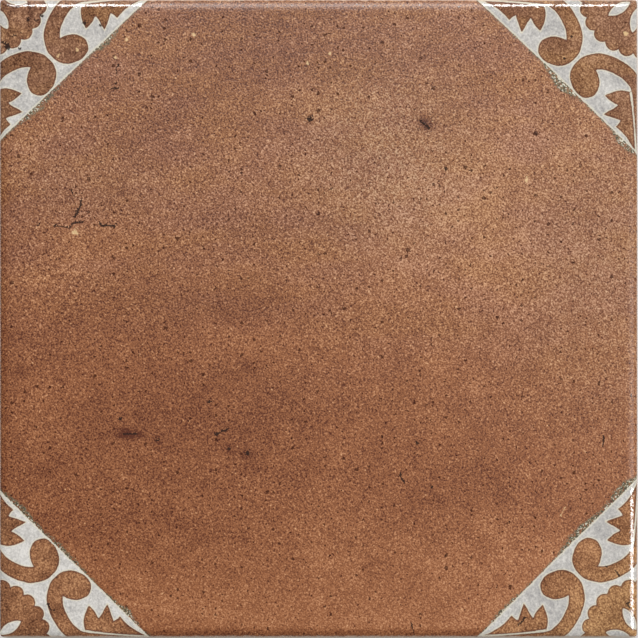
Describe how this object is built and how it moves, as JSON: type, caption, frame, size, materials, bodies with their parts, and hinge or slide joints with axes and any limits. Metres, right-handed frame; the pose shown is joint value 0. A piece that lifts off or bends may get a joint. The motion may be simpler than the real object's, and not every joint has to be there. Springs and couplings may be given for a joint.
{
  "type": "faience tile",
  "caption": "Square glazed faience wall tile with a cushioned edge, a brown octagonal field, scrollwork corners on white and a keyed back.",
  "frame": {"origin": "middle of the back, on the plane of its ribs, where the two middle ribs cross", "axes": "+Z out of the glazed face, which looks up as the tile lies on its back; +X to the right and +Y to the top of the face as it is seen in the picture"},
  "size_m": [0.2, 0.2, 0.008],
  "materials": {
    "glazed_faience": "satin terracotta-brown glaze with gloss ornament corners; unglazed biscuit on the sides and back"
  },
  "bodies": {
    "root": {"tile": "glazed_faience"}
  },
  "joints": []
}
